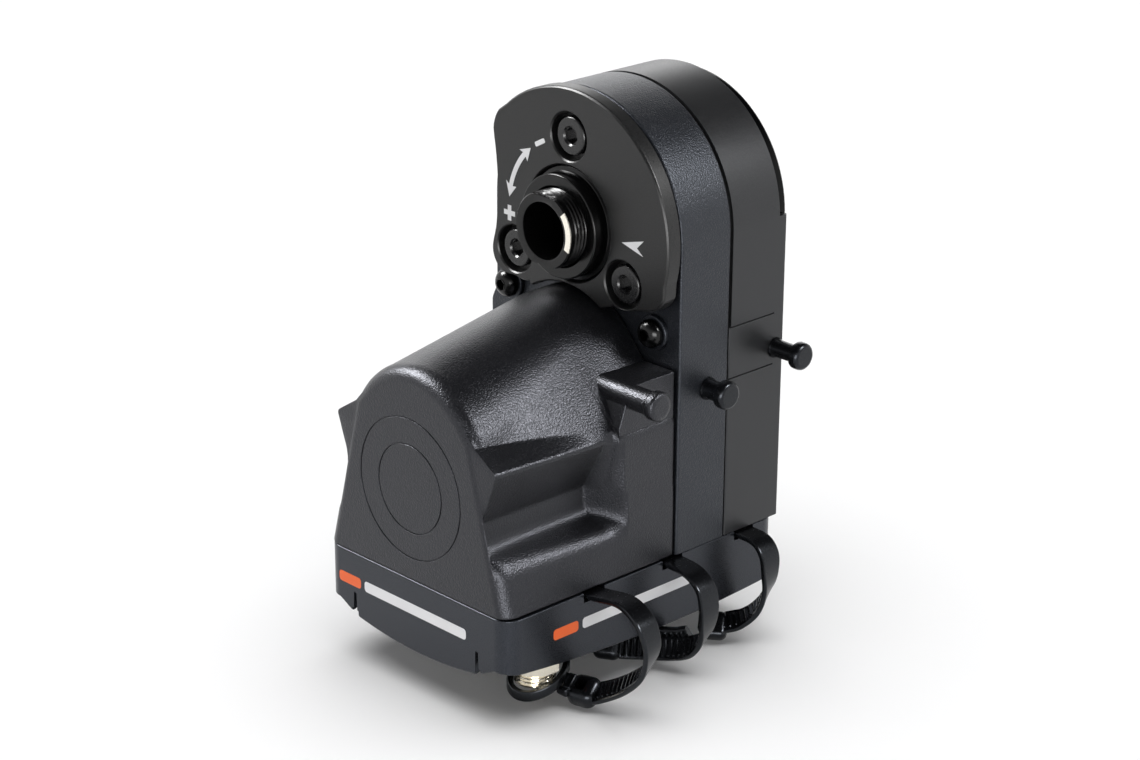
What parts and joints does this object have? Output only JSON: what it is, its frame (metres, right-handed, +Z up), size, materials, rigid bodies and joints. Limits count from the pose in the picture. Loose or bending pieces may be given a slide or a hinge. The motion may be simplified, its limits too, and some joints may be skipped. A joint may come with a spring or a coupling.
{
  "type": "telescope focus motor",
  "caption": "Electronic focus motor for a compound telescope: threaded hollow drive spindle, lobed mounting plate, geared tower, humped motor housing and base tray with cable straps.",
  "frame": {"origin": "on the drive spindle's axis, in the mounting plate's front plane", "axes": "+Z up towards the round top of the tower, -Y out of the spindle towards the telescope, +X towards the side with the cable pegs"},
  "size_m": [0.0681, 0.0738, 0.1111],
  "materials": {
    "base_satin": "moulded, fine satin, blue-grey black",
    "housing_grain": "moulded, pebbled grain",
    "case_grain": "grained powder coat, bluish black",
    "cover_satin": "moulded, fine satin",
    "cap_gloss": "gloss black",
    "plate_satin": "satin black",
    "black_oxide": "black oxide on steel",
    "spindle_gloss": "gloss black anodised",
    "collar_gloss": "gloss black",
    "bronze": "plain bearing bronze",
    "brass": "machined",
    "steel": "machined steel",
    "nickel": "warm nickel plate",
    "nylon": "semi-gloss black nylon",
    "board_green": "solder mask",
    "socket_black": "plain moulding"
  },
  "bodies": {
    "body": {"base_cover": "base_satin", "motor_housing": "housing_grain", "gearbox_case": "case_grain", "rear_cover": "cover_satin", "mounting_plate": "plate_satin", "plate_screw_1": "black_oxide", "plate_screw_2": "black_oxide", "plate_screw_3": "black_oxide", "button_screw_1": "black_oxide", "button_screw_2": "black_oxide", "spindle_collar": "collar_gloss", "rear_bearing": "bronze", "idler_axle": "steel", "idler_clip": "steel", "motor_can": "steel", "gearhead": "nickel", "motor_screw_1": "steel", "motor_screw_2": "steel", "encoder_board": "board_green", "motor_ribbon": "socket_black", "main_board": "board_green", "board_screw_1": "steel", "board_screw_2": "steel", "board_screw_3": "steel", "board_screw_4": "steel", "usb_socket": "nickel", "aux_socket": "socket_black", "jack_barrel": "nickel", "jack_nut": "nickel", "jack_insert": "socket_black", "jack_pin": "brass", "cable_peg_1": "nylon", "cable_peg_2": "nylon", "cable_tie_1": "nylon", "cable_tie_2": "nylon", "cable_tie_3": "nylon", "rear_screw_1": "black_oxide", "rear_screw_2": "black_oxide", "rear_screw_3": "black_oxide", "rear_screw_4": "black_oxide", "base_screw_1": "black_oxide", "base_screw_2": "black_oxide", "base_screw_3": "black_oxide", "base_screw_4": "black_oxide"},
    "spindle": {"drive_spindle": "spindle_gloss", "output_gear": "brass"},
    "idler": {"idler_gear": "brass"},
    "motor_output": {"motor_shaft": "steel", "motor_pinion": "brass"},
    "cap": {"rear_cap": "cap_gloss"}
  },
  "joints": [
    {"name": "spindle_spin", "type": "hinge", "parent": "body", "child": "spindle", "pos_m": [0, 0, 0], "axis": [0, 1, 0], "continuous": true},
    {"name": "idler_spin", "type": "hinge", "parent": "body", "child": "idler", "pos_m": [0.01045, 0, -0.02684], "axis": [0, 1, 0], "continuous": true},
    {"name": "motor_spin", "type": "hinge", "parent": "body", "child": "motor_output", "pos_m": [0, 0, -0.0376], "axis": [0, 1, 0], "continuous": true},
    {"name": "rear_cap_pull", "type": "slide", "parent": "body", "child": "cap", "axis": [0, 1, 0], "range_m": [0, 0.012]}
  ],
  "couplings": [
    {"joint": "idler_spin", "follows": "spindle_spin", "ratio": -1.6667},
    {"joint": "motor_spin", "follows": "spindle_spin", "ratio": 4.2857}
  ]
}
